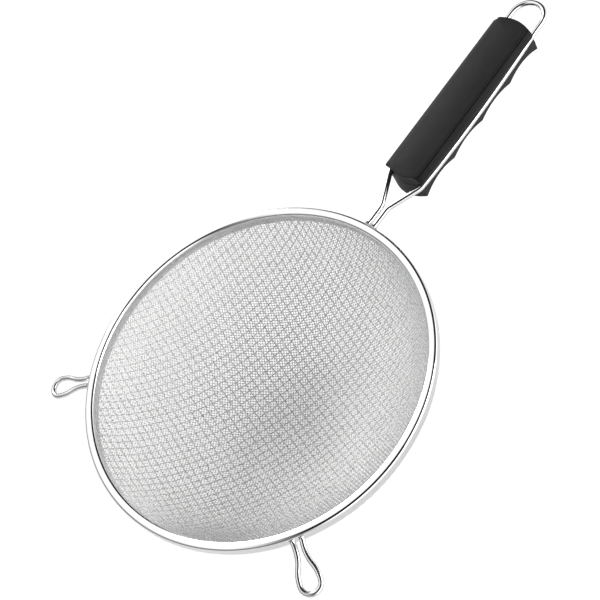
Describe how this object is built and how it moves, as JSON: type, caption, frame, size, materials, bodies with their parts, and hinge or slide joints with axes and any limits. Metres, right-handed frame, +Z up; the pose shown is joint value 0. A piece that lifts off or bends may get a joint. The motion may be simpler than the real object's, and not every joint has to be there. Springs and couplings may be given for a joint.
{
  "type": "kitchen sieve",
  "caption": "Round kitchen sieve: double wire-mesh bowl in a polished steel rim, bent-wire handle with a black finger grip and hanging loop, and wire rest hooks opposite the handle.",
  "frame": {"origin": "the flat at the bottom of the bowl, on the bowl's axis; the rim's top is 78 mm above it", "axes": "+X from the bowl's axis along the handle, +Z up along the bowl's axis out of its mouth, +Y to the left of the handle as seen from above looking along +X"},
  "size_m": [0.3611, 0.2168, 0.0947],
  "materials": {
    "rim_steel": "polished stainless sheet",
    "hoop_steel": "mill finish strip",
    "fine_wire": "bright woven wire",
    "support_wire": "bright woven wire",
    "handle_steel": "polished wire",
    "hook_steel": "polished wire",
    "grip_plastic": "fine moulded satin"
  },
  "bodies": {
    "root": {"rim_channel": "rim_steel", "clamp_hoop": "hoop_steel", "fine_mesh": "fine_wire", "support_mesh": "support_wire", "handle_wire": "handle_steel", "grip_upper": "grip_plastic", "grip_lower": "grip_plastic", "rest_hook_left": "hook_steel", "rest_hook_right": "hook_steel"}
  },
  "joints": []
}
